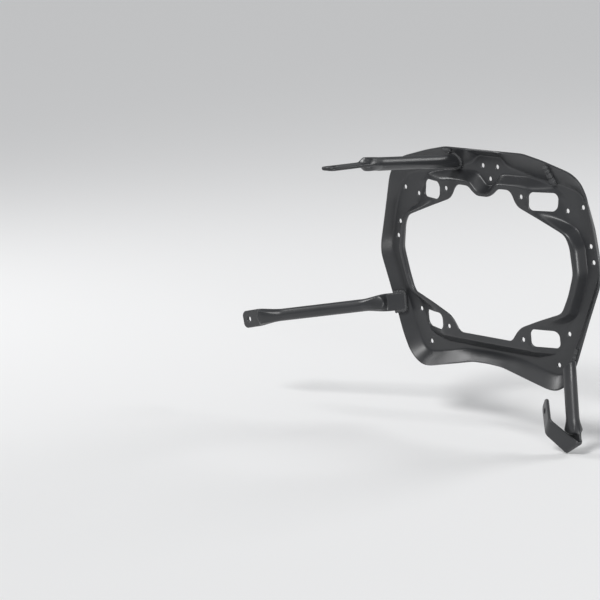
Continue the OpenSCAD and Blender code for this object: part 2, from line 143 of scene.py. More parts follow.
class StaySizes(bpy.types.PropertyGroup):
    """Sizes that the three stays share."""

    tube: mm_prop("Tube", "Outer diameter of the tube", 18.0)
    flat: mm_prop("Flat", "Thickness of a flattened end", 4.4)
    eye: mm_prop("Eye", "Diameter of the bolt holes", 8.5)
    eye_end: mm_prop("Eye to end", "Distance from a bolt hole to the end of its flat", 14.0)
    corner: mm_prop("Corner", "Corner radius of the flattened ends", 7.0)


class WeldSizes(bpy.types.PropertyGroup):
    """Sizes of the weld beads and of the drops beside them."""

    bead: mm_prop("Bead", "Width of a bead", 6.0)
    pitch: mm_prop("Ripple pitch", "Distance between two ripples", 1.5)
    drop: mm_prop("Drop", "Greatest radius of a drop of spatter", 0.55)


class CoatLook(bpy.types.PropertyGroup):
    """Colour and sheen of the powder coat."""

    colour: bpy.props.FloatVectorProperty(name="Coat", description="Colour of the powder coat", size=3,
                                          default=(0.025, 0.026, 0.028), min=0.0, max=1.0, subtype="COLOR")
    weld_colour: bpy.props.FloatVectorProperty(name="Coat on welds", description="Colour of the coated welds",
                                               size=3, default=(0.034, 0.035, 0.037), min=0.0, max=1.0,
                                               subtype="COLOR")
    roughness: share("Roughness", "Roughness of the powder coat", 0.35)
    weld_roughness: share("Weld roughness", "Roughness of the coat on welds", 0.55)


def unit(v):
    v = np.asarray(v, float)
    return v / np.linalg.norm(v)


def mix(a, b, t):
    return a + (b - a) * t


def ease(t):
    t = min(max(t, 0.0), 1.0)
    return t * t * (3 - 2 * t)


def square_to(v, axis):
    v = np.asarray(v, float)
    return unit(v - axis * (v @ axis))


def swung(v, axis, degrees):
    a = math.radians(degrees)
    return v * math.cos(a) + np.cross(axis, v) * math.sin(a)


# ---------------------------------------------------------------- pressed ring

def softened(half, samples=7):
    """A half outline and its mirror image, with every corner turned into a curve."""
    right = [np.array(p, float) for p in half]
    whole = right + [np.array((-p[0], p[1])) for p in reversed(right) if p[0] > 0.01]
    count, out = len(whole), []
    for i, corner in enumerate(whole):
        back, ahead = whole[i - 1] - corner, whole[(i + 1) % count] - corner
        u = unit(back) * min(CORNER_SOFT, 0.45 * np.linalg.norm(back))
        v = unit(ahead) * min(CORNER_SOFT, 0.45 * np.linalg.norm(ahead))
        for t in np.linspace(0, 1, samples):
            out.append(corner + u * (1 - t) ** 2 + v * t ** 2)
    return np.array(out)


CURVES = {name: softened(half) for name, half in OUTLINES.items()}


def reach(outline, angles):
    """Distance from the centre to an outline along each direction, clockwise from straight up."""
    p, q = outline, np.roll(outline, -1, axis=0)
    u = np.stack([np.sin(angles), np.cos(angles)], axis=1)
    side_p = u[:, :1] * p[:, 1] - u[:, 1:] * p[:, 0]
    side_q = u[:, :1] * q[:, 1] - u[:, 1:] * q[:, 0]
    ahead = u @ p.T > 0
    hit = np.argmax((side_p >= 0) & (side_q < 0) & ahead, axis=1)
    a, b = p[hit], q[hit] - p[hit]
    return (a[:, 0] * b[:, 1] - a[:, 1] * b[:, 0]) / (u[:, 0] * b[:, 1] - u[:, 1] * b[:, 0])


def at_height(outline, z):
    """Greatest x at which an outline crosses a height."""
    p, q = outline, np.roll(outline, -1, axis=0)
    hit = (p[:, 1] - z) * (q[:, 1] - z) <= 0
    hit &= p[:, 1] != q[:, 1]
    t = (z - p[hit, 1]) / (q[hit, 1] - p[hit, 1])
    return float(np.max(mix(p[hit, 0], q[hit, 0], t)))


def at_side(outline, x):
    """Greatest z at which an outline crosses an x."""
    return at_height(outline[:, ::-1], x)


def blurred(values, turn):
    """Evens out a closed row of values over a small turn, in degrees."""
    count = len(values)
    steps = np.arange(-12, 13)
    weight = np.exp(-0.5 * (steps * 360.0 / count / turn) ** 2)
    weight /= weight.sum()
    return sum(w * np.roll(values, s) for w, s in zip(weight, steps))


def corner_points(angles, depth, smooth=0.0):
    """Corners of the pressing's section along each direction, as radius and y."""
    radii = {n: reach(curve, angles) for n, curve in CURVES.items()}

    def level(r):
        x, z = np.abs(r * np.sin(angles)), np.abs(r * np.cos(angles))
        climb = (x * RAMP_DIR[0] + z * RAMP_DIR[1] - RAMP_FROM) / (RAMP_TO - RAMP_FROM)
        return depth * (np.clip(climb, 0, 1) - 1)

    wall, foot = radii["wall"], radii["foot"]
    climb = np.abs(np.sin(angles)) * RAMP_DIR[0] + np.abs(np.cos(angles)) * RAMP_DIR[1]
    radii["crest"] = np.clip(RAMP_TO / climb, *(mix(wall, foot, t) for t in CREST_RANGE))
    low, flat = np.full(len(angles), -depth), np.zeros(len(angles))
    heights = {"opening": low, "lip": low, "step": flat, "fold": flat, "edge": low}
    heights.update({n: level(radii[n]) for n in ("wall", "crest", "foot")})
    rows = []
    for n in SECTION_ORDER:
        r, y = radii[n], heights[n]
        if smooth:
            r, y = blurred(r, smooth), blurred(y, smooth)
        rows.append(np.stack([r, y], axis=1))
    return rows


def length(v):
    return np.linalg.norm(v, axis=1, keepdims=True)


def bend(before, at, after, cut, steps, share_of=0.42):
    """A corner of the section replaced by a curve, worked out for every direction at once."""
    u, v = before - at, after - at
    u = u / length(u) * np.minimum(cut, share_of * length(u))
    v = v / length(v) * np.minimum(cut, share_of * length(v))
    return [at + u * (1 - t) ** 2 + v * t ** 2 for t in np.linspace(0, 1, steps)]


def outer_line(rows):
    """Outer surface of the sheet from the opening to the outer edge."""
    groups = [bend(rows[i - 1], rows[i], rows[i + 1], cut, BEND_ROWS)
              for i, cut in enumerate(SECTION_BENDS, 1)]
    line = [rows[0]]
    for group in groups + [[rows[-1]]]:
        a, b = line[-1], group[0]
        span = length(b - a)
        near = np.minimum(BESIDE_BEND, 0.3 * span) / span
        line += [mix(a, b, near), mix(b, a, near)] + group
    return line


def inward(line, thickness):
    """The same line moved to the inner surface of the sheet."""
    normals = []
    for a, b in zip(line[:-1], line[1:]):
        d = (b - a) / length(b - a)
        normals.append(np.stack([d[:, 1], -d[:, 0]], axis=1))
    out = []
    for i, point in enumerate(line):
        m, n = normals[max(0, i - 1)], normals[min(len(normals) - 1, i)]
        out.append(point + (m + n) / (1 + np.sum(m * n, axis=1, keepdims=True)) * thickness)
    return out


def section_columns(angles, sizes, smooth):
    """Closed section of the sheet with its two cut edges broken, as columns of radius and y."""
    outer = outer_line(corner_points(angles, sizes.depth / MM, smooth))
    inner = inward(outer, sizes.sheet / MM)
    corners = ((inner[0], outer[0], outer[1]), (outer[-2], outer[-1], inner[-1]),
               (outer[-1], inner[-1], inner[-2]), (inner[1], inner[0], outer[0]))
    rim, outer_edge, inner_edge, inner_rim = (bend(*c, 2 * EDGE_BREAK, EDGE_ROWS) for c in corners)
    return rim + outer[1:-1] + outer_edge + inner_edge + inner[-2:0:-1] + inner_rim


def placed(columns, angles):
    """Turns columns of radius and y into rings of points around the y axis."""
    s, c = np.sin(angles), np.cos(angles)
    return np.stack([np.stack([r * s, y, r * c], axis=1) for r, y in (col.T for col in columns)], axis=1)


def grid_faces(rows, columns, closed_rows):
    """Faces between rings of points, each ring closed and the row of rings closed or open."""
    faces = []
    for i in range(rows if closed_rows else rows - 1):
        a, b = i * columns, ((i + 1) % rows) * columns
        for j in range(columns):
            k = (j + 1) % columns
            faces.append((a + j, a + k, b + k, b + j))
    return faces


def new_object(name, points, faces, material=None, smooth_angle=30.0):
    """Mesh object with its place in its mesh, from points in millimetres."""
    mesh = bpy.data.meshes.new(name)
    mesh.from_pydata([tuple(p) for p in np.asarray(points, float) * MM], [], faces)
    mesh.validate()
    mesh.update()
    obj = bpy.data.objects.new(name, mesh)
    bpy.context.scene.collection.objects.link(obj)
    if material:
        mesh.materials.append(material)
    soften(mesh, smooth_angle)
    return obj


def soften(mesh, angle):
    mesh.polygons.foreach_set("use_smooth", [True] * len(mesh.polygons))
    mesh.set_sharp_from_angle(angle=math.radians(angle))


def volume(mesh):
    mesh.calc_loop_triangles()
    co = np.array([v.co for v in mesh.vertices])
    tri = co[np.array([t.vertices for t in mesh.loop_triangles])]
    return float(np.einsum("ij,ij->i", tri[:, 0], np.cross(tri[:, 1], tri[:, 2])).sum() / 6)


def facing_out(obj):
    """Turns the mesh the right way round if its volume comes out negative."""
    if volume(obj.data) < 0:
        obj.data.flip_normals()
    return obj


def baked(obj, smooth_angle=30.0):
    """Replaces an object's modifiers by the plain mesh that they make."""
    graph = bpy.context.evaluated_depsgraph_get()
    mesh = bpy.data.meshes.new_from_object(obj.evaluated_get(graph), depsgraph=graph)
    old, obj.data = obj.data, mesh
    mesh.name = obj.name
    obj.modifiers.clear()
    bpy.data.meshes.remove(old)
    soften(mesh, smooth_angle)
    return obj


def cut_away(obj, cutters, smooth_angle=30.0):
    """Cuts closed shapes out of an object, exactly."""
    points, faces = [], []
    for p, f in cutters:
        faces += [tuple(i + len(points) for i in face) for face in f]
        points += [tuple(v) for v in p]
    tool = facing_out(new_object(obj.name + "_tool", points, faces))
    cut = obj.modifiers.new("holes", "BOOLEAN")
    cut.operation, cut.solver, cut.object = "DIFFERENCE", "MANIFOLD", tool
    baked(obj, smooth_angle)
    bpy.data.objects.remove(tool)
    return obj


def lofted(rings):
    """Closed skin over a row of rings, with flat ends."""
    count = len(rings[0])
    points = [p for ring in rings for p in ring]
    faces = grid_faces(len(rings), count, False)
    last = (len(rings) - 1) * count
    faces += [tuple(range(count - 1, -1, -1)), tuple(last + i for i in range(count))]
    return points, faces


def surface_tree(obj):
    points = [v.co / MM for v in obj.data.vertices]
    return BVHTree.FromPolygons(points, [tuple(p.vertices) for p in obj.data.polygons])


def cast(tree, origin, direction, fallback):
    hit = tree.ray_cast(Vector(origin), Vector(direction))
    return np.array(hit[0]) if hit[0] is not None else np.asarray(fallback, float)


def broken_cutter(tree, outline, middle, grow):
    """Cutter through the ring along y, flared where it meets the sheet's two surfaces."""
    layers = [[] for _ in range(6)]
    for p in outline:
        wide = middle + (p - middle) * (1 + grow / np.linalg.norm(p - middle))
        x, z = wide
        top = cast(tree, (x, RAY_HEIGHTS[0], z), (0, -1, 0), (x, 0, z))[1] + SKIN
        low = cast(tree, (x, RAY_HEIGHTS[1], z), (0, 1, 0), (x, RING_FOOT, z))[1] - SKIN
        spots = ((wide, CUTTER_HEIGHTS[0]), (wide, top), (p, top - grow),
                 (p, low + grow), (wide, low), (wide, CUTTER_HEIGHTS[1]))
        for layer, (q, y) in zip(layers, spots):
            layer.append((q[0], y, q[1]))
    return lofted(layers)


def circle_outline(x, z, radius, steps=40):
    middle = np.array((x, z), float)
    turn = np.linspace(0, 2 * math.pi, steps, endpoint=False)
    return middle + radius * np.stack([np.cos(turn), np.sin(turn)], axis=1), middle


def window_outline(x, z, width, height, corner, steps=12):
    middle, points = np.array((x, z), float), []
    for quarter, (sx, sz) in enumerate(((1, 1), (-1, 1), (-1, -1), (1, -1))):
        centre = middle + np.array((sx * (width / 2 - corner), sz * (height / 2 - corner)))
        for a in np.linspace(0, math.pi / 2, steps):
            turn = a + quarter * math.pi / 2
            points.append(centre + corner * np.array((math.cos(turn), math.sin(turn))))
    return np.array(points), middle


def ring_holes(sizes):
    """Outlines of every hole and window of the ring, with their middles."""
    edge, spots = CURVES["edge"], [TONGUE_HOLE]
    for side in (-1, 1):
        for x, z in (CASE_HOLE, INNER_HOLE):
            spots += [(side * x, z), (side * x, -z)]
        spots += [(side * TOP_HOLE_X, at_side(edge, 0) - TOP_HOLE_INSET)]
        spots += [(side * x, z) for x, z in (SHOULDER_HOLE, BOTTOM_HOLE)]
        spots += [(side * (at_height(edge, z) - SIDE_HOLE_INSET), z) for z in SIDE_HOLE_HEIGHTS]
    holes = [circle_outline(x, z, sizes.hole / MM / 2) for x, z in spots]
    size = (sizes.window_width / MM, sizes.window_height / MM, sizes.window_corner / MM)
    holes += [window_outline(side * WINDOW[0], end * WINDOW[1], *size) for side in (-1, 1) for end in (-1, 1)]
    return holes


def make_ring(sizes, material):
    angles = np.linspace(0, 2 * math.pi, RING_STEPS, endpoint=False)
    columns = section_columns(angles, sizes, TURN_BLUR)
    points = placed(columns, angles).reshape(-1, 3)
    obj = new_object("pressed_ring", points, grid_faces(len(angles), len(columns), True), material)
    facing_out(obj)
    tree = surface_tree(obj)
    cutters = [broken_cutter(tree, outline, middle, EDGE_BREAK) for outline, middle in ring_holes(sizes)]
    return cut_away(obj, cutters), tree


# ---------------------------------------------------------------- stays

# Points of the tube beyond this angle from its sides come to lie on a flat's two faces, in degrees.
FLAT_FROM = 64.0


def oval_parts(count):
    """Directions round a circle and round a flattened tube, point for point."""
    turn = np.linspace(0, 2 * math.pi, count, endpoint=False) + math.pi / count
    round_part = np.stack([np.cos(turn), np.sin(turn)], axis=1)
    side = np.arctan2(np.abs(round_part[:, 1]), np.abs(round_part[:, 0]))
    bend_at = math.radians(FLAT_FROM)
    arc = np.minimum(side / bend_at, 1) * math.pi / 2
    along = np.where(side > bend_at, (math.pi / 2 - side) / (math.pi / 2 - bend_at), 1)
    sign = np.sign(round_part)
    arc_part = np.stack([np.cos(arc) * sign[:, 0], np.sin(arc) * sign[:, 1]], axis=1)
    return round_part, arc_part, along * sign[:, 0]


ROUND_PART, ARC_PART, FLAT_PART = oval_parts(TUBE_STEPS)

# Rings in a pinch, how they crowd towards the flat, and the share of the pinch in which the crown rises.
PINCH_STEPS, PINCH_CROWDING, CROWN_RISE = 36, 1.35, 0.16
# Rings along a flat and round its corners, points round a bolt hole, and how far its cutter stands out.
FLAT_ROWS, CORNER_ROWS, EYE_STEPS, EYE_OVER = 7, 10, 48, 4.0


class StayMaker:
    """Builds one stay as a row of rings along its length, from its start to its end."""

    def __init__(self, sizes):
        self.tube, self.thick = sizes.tube / MM, sizes.flat / MM
        self.width = self.thick + math.pi * (self.tube - self.thick) / 2
        self.corner, self.eye = sizes.corner / MM, sizes.eye / MM
        self.eye_end = sizes.eye_end / MM
        self.rings = []

    def ring(self, middle, along, across, fullness, half=None, thick=None, crown=None):
        """Adds a ring: fullness 0 is flat and 1 is round, crown is how far its middle has risen."""
        half = self.width / 2 if half is None else half
        h = (self.thick if thick is None else thick) / 2
        w = square_to(across, along)
        n = np.cross(along, w)
        flat_x, flat_y = FLAT_PART * (half - h) + ARC_PART[:, 0] * h, ARC_PART[:, 1] * h
        x = mix(flat_x, ROUND_PART[:, 0] * self.tube / 2, fullness)
        lift = fullness if crown is None else crown
        y = mix(flat_y, ROUND_PART[:, 1] * self.tube / 2, lift)
        self.rings.append(middle + x[:, None] * w + y[:, None] * n)

    def tube_to(self, start, end, across_start, across_end, pitch=6.0):
        along = unit(end - start)
        steps = max(2, int(np.linalg.norm(end - start) / pitch))
        for i in range(1, steps):
            t = i / steps
            self.ring(mix(start, end, t), along, mix(across_start, across_end, t), 1.0)

    def pinch(self, flat_at, flat_dir, round_at, round_dir, across, opening_up):
        """The stretch between a flat and a round tube, whose crown stays high until near the flat."""
        turn = flat_at + flat_dir * np.linalg.norm(round_at - flat_at) / 2
        spread = ROUND_PART[:, 0] ** 2
        for i in range(PINCH_STEPS + 1) if opening_up else range(PINCH_STEPS, -1, -1):
            t = (i / PINCH_STEPS) ** PINCH_CROWDING
            middle = mix(mix(flat_at, turn, t), mix(turn, round_at, t), t)
            along = unit(mix(flat_dir, round_dir, t))
            crown = np.array([ease(t / mix(CROWN_RISE, 1, s)) for s in spread])
            self.ring(middle, along if opening_up else -along, across, ease(t), crown=crown)

    def flat_to(self, start, direction, across, run, first=0):
        """A flat run with rounded corners at its far end."""
        straight = run - self.corner
        for s in np.linspace(0, straight, FLAT_ROWS)[first:]:
            self.ring(start + direction * s, direction, across, 0.0)
        for s in np.sin(np.linspace(0, math.pi / 2, CORNER_ROWS))[1:] * (self.corner - EDGE_BREAK):
            half = self.width / 2 - self.corner + math.sqrt(max(self.corner ** 2 - s * s, 0))
            self.ring(start + direction * (straight + s), direction, across, 0.0, half)
        half = self.width / 2 - self.corner + math.sqrt(self.corner ** 2 - (self.corner - EDGE_BREAK) ** 2)
        thin = self.thick - 2 * EDGE_BREAK
        self.ring(start + direction * run, direction, across, 0.0, half - 2 * EDGE_BREAK, thin)

    def eye_cutter(self, start, direction, across, run):
        """Cutter for the bolt hole of a flat, flared at both faces."""
        w = square_to(across, direction)
        n = np.cross(direction, w)
        middle, h, r = start + direction * (run - self.eye_end), self.thick / 2, self.eye / 2
        steps = ((h + EYE_OVER, r + EDGE_BREAK), (h + SKIN, r + EDGE_BREAK), (h - EDGE_BREAK, r))
        turns = np.linspace(0, 2 * math.pi, EYE_STEPS, endpoint=False)
        rim = [w * math.cos(a) + direction * math.sin(a) for a in turns]
        rows = [(-y, radius) for y, radius in steps] + list(reversed(steps))
        return lofted([[middle + n * y + p * radius for p in rim] for y, radius in rows])

    def finish(self, name, material, cutters, smooth_angle=38.0):
        obj = facing_out(new_object(name, *lofted(self.rings), material, smooth_angle))
        return cut_away(obj, cutters, smooth_angle)


def flange_out(angle, sizes):
    """The way out of the outer flange's face, at a turn in degrees from straight up."""
    def edge(a):
        rows = corner_points(np.array([math.radians(a)]), sizes.depth / MM)
        s, c = math.sin(math.radians(a)), math.cos(math.radians(a))
        return [np.array((r[0, 0] * s, r[0, 1], r[0, 0] * c)) for r in rows[-2:]]

    fold, rim = edge(angle)
    return unit(np.cross(unit(rim - fold), edge(angle + 1)[1] - edge(angle - 1)[1]))


WELD_GAP = 0.4
UPPER_X, UPPER_Z, UPPER_FLAT, UPPER_PINCH = 64.0, 134.56, 65.0, 34.0
# From the upper stay's foot to its neck, and the way its flat runs on.
UPPER_RUN, UPPER_FLAT_DIR = (44, -216, 21), (0.03, -1, 0.02)
LOWER_DROP, LOWER_FLAT, LOWER_TAB, LOWER_LAP, LOWER_PINCH = 76.0, 36.0, 24.0, 3.0, 40.0
LOWER_EYE, LOWER_FLAT_DIR = (-408.0, -106, -116), (-0.97, 0, -0.22)
# Distance from the lower stay's end, and how much narrower than its flat it is there on each side.
LOWER_TIP = ((0.4, 1.2), (1.2, 0.4), (2.4, 0), (6, 0), (12, 0), (18, 0), (22, 0))


def upper_route():
    foot = np.array((-UPPER_X, 0, UPPER_Z))
    neck = foot + np.array(UPPER_RUN)
    along, flat_dir = unit(neck - foot), unit(UPPER_FLAT_DIR)
    return foot, neck, along, flat_dir, neck - along * UPPER_PINCH


def make_upper_stay(stays, ring_tree, material):
    """Round at the ring, where it is cut to the pressing's inside, and flat at its eye."""
    maker = StayMaker(stays)
    foot, neck, along, flat_dir, round_at = upper_route()
    across = np.array((1.0, 0, 0))
    w = square_to(across, along)
    n = np.cross(along, w)
    base = foot + along * 60
    rim = []
    for x, y in ROUND_PART * maker.tube / 2:
        start = base + x * w + y * n
        hit = cast(ring_tree, start, -along, start - along * 60)
        rim.append(hit - along * 0.3)
    maker.rings.append(np.array(rim))
    for s in (4, 12):
        maker.rings.append(np.array([p + along * s for p in rim]))
    maker.tube_to(foot + along * 40, round_at, across, across)
    maker.pinch(neck, -flat_dir, round_at, -along, across, False)
    maker.flat_to(neck, flat_dir, across, UPPER_FLAT, 1)
    obj = maker.finish("upper_tube_stay", material, [maker.eye_cutter(neck, flat_dir, across, UPPER_FLAT)])
    return obj, np.array(rim)


def lower_route(maker, ring):
    flat_dir = unit(LOWER_FLAT_DIR)
    neck = np.array(LOWER_EYE) - flat_dir * (LOWER_FLAT - maker.eye_end)
    x = (at_height(CURVES["fold"], -LOWER_DROP) + at_height(CURVES["edge"], -LOWER_DROP)) / 2
    out = flange_out(180 + math.degrees(math.atan(x / LOWER_DROP)), ring)
    sheet = ring.sheet / MM
    middle = np.array((-x, -ring.depth / MM / 2, -LOWER_DROP)) - out * (sheet + WELD_GAP + maker.thick / 2)
    tab_dir = square_to(neck - middle, out)
    return neck, flat_dir, middle - tab_dir * LOWER_LAP, tab_dir, np.cross(out, tab_dir), out


def make_lower_stay(stays, ring, material):
    """Flat where it is welded to the ring's front flange, round between, and flat at its eye."""
    maker = StayMaker(stays)
    neck, flat_dir, end, tab_dir, across, _ = lower_route(maker, ring)
    bend_at = end + tab_dir * LOWER_TAB
    along = unit(neck - bend_at)
    near, far = bend_at + along * LOWER_PINCH, neck - along * LOWER_PINCH
    half, up = maker.width / 2, np.array((0, 0, 1.0))
    maker.ring(end, tab_dir, across, 0, half - 2, maker.thick - 0.6)
    for s, inset in LOWER_TIP:
        maker.ring(end + tab_dir * s, tab_dir, across, 0, half - inset)
    maker.pinch(bend_at, tab_dir, near, along, across, True)
    if across @ up < 0:
        up = -up
    maker.tube_to(near, far, across, up)
    maker.pinch(neck, -flat_dir, far, -along, up, False)
    maker.flat_to(neck, flat_dir, up, LOWER_FLAT, 1)
    return maker.finish("lower_tube_stay", material, [maker.eye_cutter(neck, flat_dir, up, LOWER_FLAT)])


HOOK_INSET, HOOK_TOP, HOOK_FOLD, HOOK_PINCH, HOOK_LEG_FLAT = 7.5, 110.0, 224.0, 24.0, 12.0
FOLD_R, FOLD_TURN, HOOK_STRIP, TAB_R, TAB_TURN, TAB_SLANT, HOOK_TAB = 2.5, 164.0, 33.0, 9.0, 48.0, 14.0, 33.0
# The leg's lean, the turn of the cut at its top, its fold's line and the strip's directions after the fold.
HOOK_LEAN, HOOK_CUT, FOLD_LINE = (0.068, 0, -1), math.radians(-40), (0.84, 0, 0.54)
STRIP_DIR, STRIP_ACROSS = (-0.765, -0.274, 0.583), (0.63, -0.10, 0.77)
FOLD_RINGS, TAB_RINGS = 16, 10


def hook_route(maker, ring):
    rows = corner_points(np.array([math.radians(125)]), ring.depth / MM)
    fold, edge = rows[-2][0], rows[-1][0]
    slope = (edge - fold)[0] / np.linalg.norm(edge - fold)
    rest = -ring.depth / MM - slope * ring.sheet / MM
    x = at_height(CURVES["edge"], -HOOK_TOP) - HOOK_INSET
    top = np.array((x, rest - maker.tube / 2 - WELD_GAP, -HOOK_TOP))
    return top, unit(HOOK_LEAN)


def bend_middle(start, out, line, r, degrees, slant):
    """Centre line of a strip bent about a line and slid along it."""
    slide = r * math.radians(degrees) * math.tan(math.radians(slant))
    return start + (swung(out, line, degrees) - out) * r + line * slide


def make_hook_stay(stays, ring, material):
    """A leg cut off at a slant, flattened, folded back up and turned up again into a tab."""
    maker = StayMaker(stays)
    top, leg_dir = hook_route(maker, ring)
    leg_end = top + leg_dir * (HOOK_FOLD - HOOK_TOP)
    leg_tab = leg_end - leg_dir * HOOK_LEG_FLAT
    leg_round = leg_tab - leg_dir * HOOK_PINCH
    across, facing = square_to((1, 0, 0), leg_dir), np.array((0, 1.0, 0))
    w = square_to(across, leg_dir)
    n = np.cross(leg_dir, w)
    slant = unit((math.sin(HOOK_CUT), 0, math.cos(HOOK_CUT)))
    on_cut = top - np.array((0, 0, maker.tube / 2))
    rim = []
    for x, y in ROUND_PART * maker.tube / 2:
        p = top + x * w + y * n
        rim.append(p + leg_dir * ((on_cut - p) @ slant) / (leg_dir @ slant))
    rim = np.array(rim)
    centre = rim.mean(axis=0)
    maker.rings += [mix(rim, centre, 0.09), mix(rim, centre, 0.02) + leg_dir * 0.3, rim + leg_dir * 0.9]
    maker.tube_to(top + leg_dir * 26, leg_round, across, across)
    maker.pinch(leg_tab, -leg_dir, leg_round, -leg_dir, across, False)
    fold_line, strip_dir = unit(FOLD_LINE), unit(STRIP_DIR)
    strip_across = square_to(STRIP_ACROSS, strip_dir)
    a = math.radians(TAB_SLANT)
    turn_r = FOLD_R + maker.thick / 2
    slanted = maker.width / 2 / np.linalg.norm(np.cross(fold_line, leg_dir))

    def strip_ring(middle, line, out, half):
        r = maker.thick / 2
        wide, high = FLAT_PART * (half - r) + ARC_PART[:, 0] * r, ARC_PART[:, 1] * r
        maker.rings.append(middle + wide[:, None] * line + high[:, None] * out)

    for k in range(FOLD_RINGS + 1):
        t = k * FOLD_TURN / FOLD_RINGS
        middle = bend_middle(leg_end, facing, -fold_line, turn_r, t, 0)
        strip_ring(middle, fold_line, -swung(facing, -fold_line, t), slanted)
    strip_end = bend_middle(leg_end, facing, -fold_line, turn_r, FOLD_TURN, 0) + strip_dir * HOOK_STRIP
    tab_line = strip_across * math.cos(a) + strip_dir * math.sin(a)
    strip_on = strip_dir * math.cos(a) - strip_across * math.sin(a)
    strip_out = np.cross(tab_line, strip_on)
    tab_on = swung(strip_on, -tab_line, TAB_TURN)
    tab_dir = tab_on * math.cos(a) + tab_line * math.sin(a)
    tab_across = tab_line * math.cos(a) - tab_on * math.sin(a)
    bevel = maker.width / 2 / math.cos(a)
    for k in range(TAB_RINGS + 1):
        t = k * TAB_TURN / TAB_RINGS
        middle = bend_middle(strip_end, strip_out, -tab_line, TAB_R + maker.thick / 2, t, -TAB_SLANT)
        strip_ring(middle, tab_line, -swung(strip_out, -tab_line, t), bevel)
    start = middle + tab_dir * maker.width / 2 * math.tan(a)
    maker.flat_to(start, tab_dir, tab_across, HOOK_TAB)
    return maker.finish("hook_tube_stay", material, [maker.eye_cutter(start, tab_dir, tab_across, HOOK_TAB)])


# ---------------------------------------------------------------- welds

def node_tree(name, inputs):
    """Empty Geometry Nodes tree with the given named inputs and one geometry output."""
    tree = bpy.data.node_groups.new(name, "GeometryNodeTree")
    tree.interface.new_socket(name="Geometry", in_out="OUTPUT", socket_type="NodeSocketGeometry")
    tree.interface.new_socket(name="Geometry", in_out="INPUT", socket_type="NodeSocketGeometry")
    for label, kind, default in inputs:
        socket = tree.interface.new_socket(name=label, in_out="INPUT", socket_type="NodeSocket" + kind)
        if default is not None:
            socket.default_value = default
    return tree


def add(tree, kind, links=(), **settings):
    """Adds a node: settings are its own properties, links are pairs of input and value or socket."""
    node = tree.nodes.new(kind)
    for key, value in settings.items():
        setattr(node, key, value)
    for key, value in links:
        if isinstance(value, bpy.types.NodeSocket):
            tree.links.new(value, node.inputs[key])
        else:
            node.inputs[key].default_value = value
    return node


def maths(tree, operation, a, b):
    return add(tree, "ShaderNodeMath", [(0, a), (1, b)], operation=operation).outputs[0]


def add_end(tree, shapes, coat):
    """Ends a tree with its shapes made real and given their material."""
    real = add(tree, "GeometryNodeRealizeInstances", [("Geometry", shapes.outputs[0])])
    done = add(tree, "GeometryNodeSetMaterial", [("Geometry", real.outputs[0]), ("Material", coat)])
    add(tree, "NodeGroupOutput", [("Geometry", done.outputs[0])])
    return tree


def ripple_tree():
    """Squashed balls strung along a path, a little uneven, as a weld bead's ripples."""
    tree = node_tree("Weld Ripples", [
        ("Width", "Float", 0.006), ("Pitch", "Float", 0.0015), ("Unevenness", "Float", 0.1),
        ("Seed", "Int", 1), ("Coat", "Material", None)])
    given = tree.nodes.new("NodeGroupInput").outputs
    path = add(tree, "GeometryNodeMeshToCurve", [("Mesh", given["Geometry"])])
    spots = add(tree, "GeometryNodeCurveToPoints", [("Curve", path.outputs[0]), ("Length", given["Pitch"])],
                mode="LENGTH")
    ball = add(tree, "GeometryNodeMeshIcoSphere", [("Radius", 1.0), ("Subdivisions", 4)])
    half = maths(tree, "MULTIPLY", given["Width"], 0.5)
    thin = maths(tree, "MULTIPLY", given["Pitch"], 0.95)
    low = maths(tree, "SUBTRACT", 1.0, given["Unevenness"])
    high = maths(tree, "ADD", 1.0, given["Unevenness"])
    vary = add(tree, "FunctionNodeRandomValue", [(2, low), (3, high), ("Seed", given["Seed"])],
               data_type="FLOAT")
    wide = maths(tree, "MULTIPLY", half, vary.outputs[1])
    scale = add(tree, "ShaderNodeCombineXYZ", [("X", wide), ("Y", wide), ("Z", thin)])
    balls = add(tree, "GeometryNodeInstanceOnPoints", [
        ("Points", spots.outputs["Points"]), ("Instance", ball.outputs["Mesh"]),
        ("Rotation", spots.outputs["Rotation"]), ("Scale", scale.outputs[0])])
    return add_end(tree, balls, given["Coat"])


def drop_tree():
    """Small drops scattered over a patch of surface, as spatter."""
    tree = node_tree("Weld Spatter", [
        ("Density", "Float", 90000.0), ("Radius", "Float", 0.0005), ("Seed", "Int", 1),
        ("Coat", "Material", None)])
    given = tree.nodes.new("NodeGroupInput").outputs
    spots = add(tree, "GeometryNodeDistributePointsOnFaces", [
        ("Mesh", given["Geometry"]), ("Density", given["Density"]), ("Seed", given["Seed"])])
    ball = add(tree, "GeometryNodeMeshIcoSphere", [("Radius", 1.0), ("Subdivisions", 2)])
    small = maths(tree, "MULTIPLY", given["Radius"], 0.35)
    vary = add(tree, "FunctionNodeRandomValue", [(2, small), (3, given["Radius"]), ("Seed", given["Seed"])],
               data_type="FLOAT")
    drops = add(tree, "GeometryNodeInstanceOnPoints", [
        ("Points", spots.outputs["Points"]), ("Instance", ball.outputs["Mesh"]), ("Scale", vary.outputs[1])])
    return add_end(tree, drops, given["Coat"])


def use_tree(obj, tree, values):
    """Puts a tree on an object, with its named inputs set."""
    step = obj.modifiers.new("nodes", "NODES")
    step.node_group = tree
    names = {i.name: i.identifier for i in tree.interface.items_tree
             if i.item_type == "SOCKET" and i.in_out == "INPUT"}
    for key, value in values.items():
        step[names[key]] = value


def path_object(name, points, closed=False):
    mesh = bpy.data.meshes.new(name)
    edges = [(i, i + 1) for i in range(len(points) - 1)] + ([(len(points) - 1, 0)] if closed else [])
    mesh.from_pydata([tuple(np.asarray(p, float) * MM) for p in points], edges, [])
    obj = bpy.data.objects.new(name, mesh)
    bpy.context.scene.collection.objects.link(obj)
    return obj


